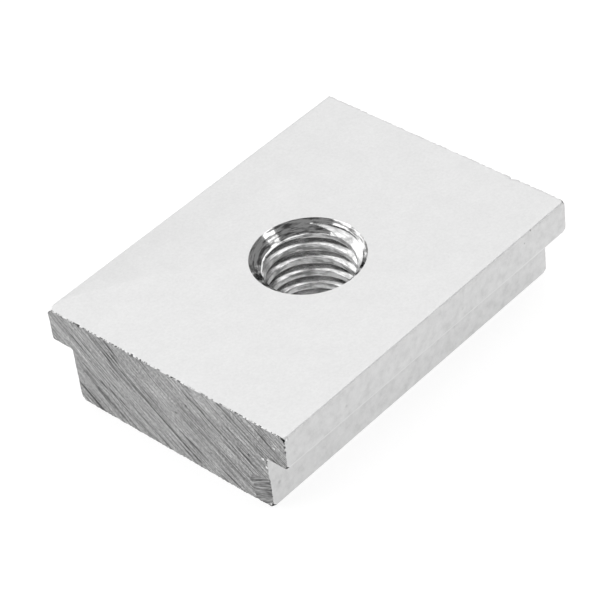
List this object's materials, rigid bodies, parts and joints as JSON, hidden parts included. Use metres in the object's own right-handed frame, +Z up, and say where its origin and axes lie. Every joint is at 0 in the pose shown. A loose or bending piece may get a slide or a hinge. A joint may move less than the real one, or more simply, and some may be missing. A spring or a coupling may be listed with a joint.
{
  "type": "t slot nut",
  "caption": "Sliding T-slot nut sawn from extruded aluminium T bar, with a countersunk, tapped M8 hole through its middle.",
  "frame": {"origin": "middle of the neck's flat face, on the axis of the tapped hole; the nut stands on this face with its wide head uppermost", "axes": "+X along the slot that the nut slides in, +Y across the slot, +Z up the tapped hole from the neck to the head"},
  "size_m": [0.0308, 0.023, 0.0078],
  "materials": {
    "anodised_aluminium": "matte clear anodised along the bar, bare sawn metal at both ends, bright cut metal in the hole"
  },
  "bodies": {
    "root": {"slot_nut": "anodised_aluminium"}
  },
  "joints": []
}
